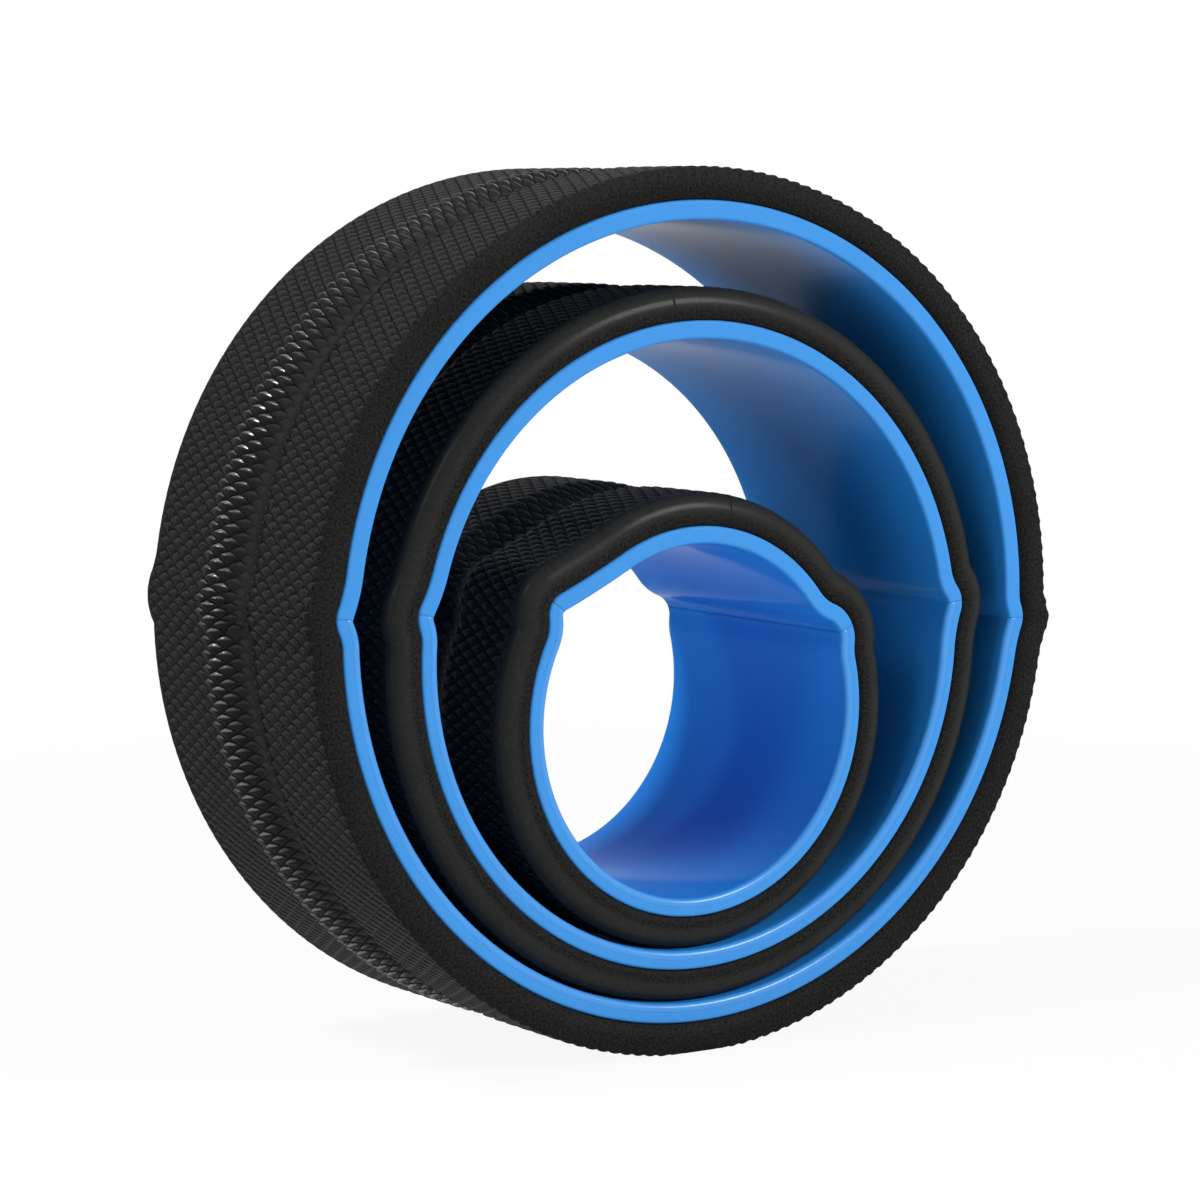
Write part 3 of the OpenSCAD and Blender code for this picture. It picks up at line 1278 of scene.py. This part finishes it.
@dataclass(frozen=True)
class Tread(Piece):
    """A foam tread: rounded edges, a hollow for the spine and scales pressed into it."""

    form: ClassVar[str] = "foam"
    slot: ClassVar[Slot] = Slot.TREAD
    scales: bpy.types.NodeTree
    pattern: ScalePattern
    per_period: int = 8
    per_column: int = 4
    edge_steps: int = 5
    crowding: float = 0.3

    def _dip(self, across: float) -> float:
        """How far the hollow for the spine lies below the crown.

        Args:
            across: the place along the axis.

        Returns:
            The depth in millimetres.
        """
        share = min(1.0, abs(across) / Foam.lip)
        round_part = Foam.round_share * (1 + math.cos(HALF_TURN * share)) / 2
        sharp_part = (1.0 - Foam.round_share) * math.cos(QUARTER * share)
        return Foam.depth * (round_part + sharp_part)

    def _relief(self, across: float) -> float:
        """The share of the scales' relief at a place across the tread.

        Args:
            across: the place along the axis.

        Returns:
            The share, 0 to 1.1.
        """
        from_face = self.wheel.width / 2 - abs(across)
        plain = self.wheel.plain_edge
        if from_face < plain:
            return 0.0
        fade = min(1.0, (from_face - plain) / Foam.plain_fade) if plain else 1.0
        if across > 0.0 and not plain:
            fade = min(1.0, from_face / Foam.back_fade)
        if abs(across) >= Foam.lip or not self.wheel.glints:
            return fade
        if across < -Foam.near_end:
            share = (-Foam.near_end - across) / (Foam.lip - Foam.near_end)
            return fade * (Foam.least_relief + (1.0 - Foam.least_relief) * share)
        share = min(1.0, max(0.0, (across - Foam.far_start) / Foam.far_fade))
        return fade * (Foam.least_relief + share * Foam.far_gain)

    def _gloss(self, across: float) -> float:
        """How much gloss a place across the tread has; below 0 it is very rough.

        Args:
            across: the place along the axis.

        Returns:
            The gloss.
        """
        from_face = self.wheel.width / 2 - abs(across)
        if from_face < self.wheel.plain_edge:
            return Foam.smooth
        if not self.wheel.glints:
            return Foam.matte
        if -Foam.lip - Foam.dull_margin < across < -Foam.dull_end:
            return Foam.dull
        glint = max(0.0, 1.0 - abs(across - Foam.glint_row) / Foam.glint_reach)
        if abs(across) < Foam.lip or glint > 0.0:
            return Foam.hollow + (1.0 - Foam.hollow) * glint
        return Foam.matte

    def section(self) -> Section:
        """The foam's outline: base, front face, rounded edge, crown and the same on the other side.

        Returns:
            The outline.
        """
        half_w = self.wheel.width / 2
        base = self.wheel.foam_base
        top = base + Foam.thickness
        edge = self.wheel.edge_r
        reach = half_w - edge
        column = self.pattern.column / self.per_column
        count = round(half_w / column)
        inside = [number * column for number in range(-count, count + 1)]
        kept = [across for across in inside if abs(across) < reach - column * self.crowding]
        outline = Section()

        def rounded(side: int, step: int) -> None:
            """Adds one point of the rounded edge on one side.

            Args:
                side: 1 for the back edge and -1 for the front one.
                step: the point's number, from the face upwards.
            """
            turned = QUARTER * step / self.edge_steps
            across = side * (reach + edge * math.cos(turned))
            relief = self._relief(across) * math.sqrt(math.sin(turned))
            outline.add(across, top - edge + edge * math.sin(turned), relief, self._gloss(across))

        outline.add(-half_w, base)
        outline.add(-half_w, (base + top - edge) / 2)
        for step in range(self.edge_steps):
            rounded(-1, step)
        for across in (-reach, *kept, reach):
            outline.add(across, top - self._dip(across), self._relief(across), self._gloss(across))
        for step in reversed(range(self.edge_steps)):
            rounded(1, step)
        outline.add(half_w, (base + top - edge) / 2)
        outline.add(half_w, base)
        return outline

    def shape(self, name: str, material: bpy.types.Material) -> bpy.types.Object:
        """Sweeps the smooth foam along the ring and presses the scales into it.

        Args:
            name: the name of the piece.
            material: its finish.

        Returns:
            The piece, round the origin.
        """
        arcs = self.wheel.ring.between(self.start, self.end)
        stations = patterned_stations(arcs, self.wheel.ring, self.per_period)
        smooth = sweep(self.node + "_smooth", stations, self.section())
        modifier = smooth.modifiers.new("scales", "NODES")
        modifier.node_group = self.scales
        inputs = [item for item in self.scales.interface.items_tree if item.in_out == "INPUT"]
        named = {item.name: item.identifier for item in inputs}
        modifier[named["Relief"]] = self.pattern.relief * MM
        modifier[named["Column width"]] = self.pattern.column
        modifier[named["Finish"]] = material
        graph = bpy.context.evaluated_depsgraph_get()
        mesh = bpy.data.meshes.new_from_object(smooth.evaluated_get(graph))
        mesh.name = name
        bpy.data.objects.remove(smooth)
        piece = new_object(name, mesh)
        piece.data.materials[0] = material
        return piece

    def build(self, material: bpy.types.Material) -> bpy.types.Object:
        """Args:
            material: its finish.

        Returns:
            The piece.
        """
        piece = super().build(material)
        return piece


# The studio


@dataclass(frozen=True)
class Lamp:
    """A softbox: where it stands, what it points at, its sides and its power."""

    name: str
    place: tuple[float, float, float]
    aim: tuple[float, float, float]
    size: tuple[float, float]
    watts: float

    def build(self) -> None:
        """Makes the lamp."""
        light = bpy.data.lights.new(self.name, "AREA")
        light.shape = "RECTANGLE"
        light.size, light.size_y = self.size
        light.energy = self.watts
        lamp = new_object(self.name, light)
        direction = Vector(self.aim) - Vector(self.place)
        turned = direction.to_track_quat("-Z", "Y").to_matrix().to_4x4()
        lamp.matrix_world = Matrix.Translation(self.place) @ turned


@dataclass(frozen=True)
class Studio:
    """Floor, surroundings, lamps and the camera of the photograph."""

    azimuth: float = -33.69
    elevation: float = 5.75
    distance: float = 1.479
    aside: float = 4.32 * MM
    upward: float = -0.42 * MM
    lens: float = 116.04
    target: tuple[float, float, float] = (0.0, 0.0, 0.164)
    floor_half: float = 3.0
    floor_colour: float = 0.7
    ambient: float = 0.10
    floor_own_light: float = 0.92
    floor_glow: float = 1.0
    floor_fade: tuple[float, float] = (0.3, 1.2)
    sensor: float = 36.0
    sight: float = 50.0
    lamps: tuple[Lamp, ...] = (
        Lamp("front_softbox", (1.3, -2.0, 1.5), (0.0, 0.0, 0.16), (0.9, 0.9), 62.0),
        Lamp("top_softbox", (-1.25, 0.15, 2.0), (0.0, 0.0, 0.16), (0.5, 0.5), 45.0),
        Lamp("left_strip", (-1.7, -0.6, 1.7), (0.0, 0.0, 0.16), (0.4, 0.8), 6.0),
        Lamp("glint_strip", (-2.0, 0.8, 1.1), (0.0, 0.0, 0.16), (0.2, 0.35), 5.0),
    )

    def build(self) -> None:
        """Makes the whole studio."""
        self._floor()
        self._surroundings()
        for lamp in self.lamps:
            lamp.build()
        self._camera()
        bpy.context.scene.view_settings.view_transform = "Standard"

    def _floor(self) -> None:
        """A plain white floor that keeps the object's shadow."""
        half = self.floor_half
        mesh = bpy.data.meshes.new("floor")
        corners = [(-half, -half, 0.0), (half, -half, 0.0), (half, half, 0.0), (-half, half, 0.0)]
        mesh.from_pydata(corners, [], [(0, 1, 2, 3)])
        floor = new_object("floor", mesh)
        material, tree, place = surface("floor_white")
        away = tree.value("ShaderNodeVectorMath", {"operation": "LENGTH"}, {0: place}, "Value")
        share = away.eased(*self.floor_fade) * (1.0 - self.floor_own_light) + self.floor_own_light
        grey = self.floor_colour
        plain = tree.add("ShaderNodeBsdfDiffuse", {}, {"Color": (grey, grey, grey, 1.0)})
        glow = tree.add("ShaderNodeEmission", {}, {"Color": WHITE, "Strength": self.floor_glow})
        tree.finish(tree.mixed_shader(self._seen_directly(tree) * share, plain, glow))
        mesh.materials.append(material)

    @staticmethod
    def _seen_directly(tree: TreeMaker) -> Term:
        """1 for rays from the camera, from glossy surfaces and through glass, else 0.

        Args:
            tree: the material's or the world's tree.

        Returns:
            The value.
        """
        path = tree.add("ShaderNodeLightPath")
        names = ("Is Camera Ray", "Is Glossy Ray", "Is Transmission Ray")
        camera, glossy, clear = (Term(tree, path.outputs[name]) for name in names)
        return camera.most(glossy).most(clear)

    def _surroundings(self) -> None:
        """White all round where it is seen, and a plain soft light otherwise."""
        world = bpy.data.worlds.new("studio")
        world.use_nodes = True
        tree = TreeMaker(world.node_tree)
        seen = self._seen_directly(tree)
        glow = tree.add("ShaderNodeBackground", {}, {
            "Color": WHITE, "Strength": seen * (1.0 - self.ambient) + self.ambient,
        })
        tree.add("ShaderNodeOutputWorld", {}, {"Surface": glow.outputs[0]})
        bpy.context.scene.world = world

    def _camera(self) -> None:
        """The camera at the photograph's angle, distance and lens."""
        turned, raised = math.radians(self.azimuth), math.radians(self.elevation)
        back = Vector((
            math.sin(turned) * math.cos(raised), -math.cos(turned) * math.cos(raised), math.sin(raised),
        ))
        right = Vector((math.cos(turned), math.sin(turned), 0.0))
        up = back.cross(right)
        place = Vector(self.target) + back * self.distance - right * self.aside - up * self.upward
        lens = bpy.data.cameras.new("camera")
        lens.lens = self.lens
        lens.sensor_width = self.sensor
        lens.clip_end = self.sight
        camera = new_object("camera", lens)
        camera.matrix_world = Matrix.Translation(place) @ Matrix((right, up, back)).transposed().to_4x4()
        bpy.context.scene.camera = camera


# The set


@dataclass(frozen=True)
class WheelSet:
    """The three wheels, from the outside in."""

    pattern: ScalePattern = ScalePattern()

    @staticmethod
    def _ring(
        radius: float, wall: float, right: Knuckle, left: Knuckle, periods: int, drop: float = 0.0,
    ) -> RingLine:
        """Works out a ring's line from the tread's radius.

        Args:
            radius: the tread's radius at its crown.
            wall: the thickness of the shells.
            right, left: the bulges at the two joints.
            periods: the scales once round.
            drop: how much smaller the upper shell's radius is.

        Returns:
            The line.
        """
        mid = radius - Foam.thickness - Foam.film - wall / 2
        return RingLine(mid - drop, mid, right, left, radius - mid, periods)

    def large(self) -> Wheel:
        """The large wheel.

        Returns:
            The wheel.
        """
        wall = 7.4
        right, left = Knuckle(angle=-3.8, rise=2.2, fold=1.2), Knuckle(angle=177.4, rise=2.6)
        return Wheel(
            name="large", body="large_wheel", height=164.0, front=-60.0, width=120.0, wall=wall,
            edge_r=0.9, plain_edge=0.0, ring=self._ring(165.0, wall, right, left, 194), glints=True,
        )

    def medium(self) -> Wheel:
        """The medium wheel.

        Returns:
            The wheel.
        """
        wall = 7.0
        right, left = Knuckle(angle=4.8, rise=3.6), Knuckle(angle=171.2, rise=2.6)
        return Wheel(
            name="medium", body="medium_wheel", height=152.0, front=-60.0, width=119.0, wall=wall,
            edge_r=7.0, plain_edge=6.0, ring=self._ring(133.0, wall, right, left, 156),
            seams=(95.5, 251.0),
        )

    def small(self) -> Wheel:
        """The small wheel, whose upper shell has a smaller radius than its lower one.

        Returns:
            The wheel.
        """
        wall = 6.8
        right = Knuckle(angle=23.0, rise=2.7, nose_r=12.0, hollow_before=18.5)
        left = Knuckle(angle=144.5, rise=4.8, nose_r=5.0, hollow_before=400.0)
        return Wheel(
            name="small", body="small_wheel", height=125.8, front=-59.0, width=116.0, wall=wall,
            edge_r=7.0, plain_edge=6.0, ring=self._ring(87.2, wall, right, left, 102, drop=3.8),
            seams=(79.5, 262.0),
        )

    def build(self, finishes: Finishes) -> None:
        """Builds every piece of the three wheels.

        Args:
            finishes: the materials.
        """
        scales = self.pattern.tree()
        for wheel in (self.large(), self.medium(), self.small()):
            right, left = wheel.ring.right.angle, wheel.ring.left.angle
            Shell(wheel, f"{wheel.name}_upper_shell", right, left).build(finishes.shell)
            lower = Shell(wheel, f"{wheel.name}_lower_shell", left, right + ROUND, face_line=True)
            lower.build(finishes.shell)
            for side, start, end in wheel.strips():
                Film(wheel, f"{wheel.name}_{side}_film", start, end).build(finishes.film)
                node = f"{wheel.name}_{side}_tread"
                Tread(wheel, node, start, end, scales, self.pattern).build(finishes.foam)


def main() -> None:
    """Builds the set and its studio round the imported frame."""
    logging.basicConfig(level=logging.INFO, format="%(message)s")
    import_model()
    wheels = WheelSet()
    wheels.build(Finishes.make(wheels.pattern))
    Studio().build()


if __name__ == "__main__":
    main()
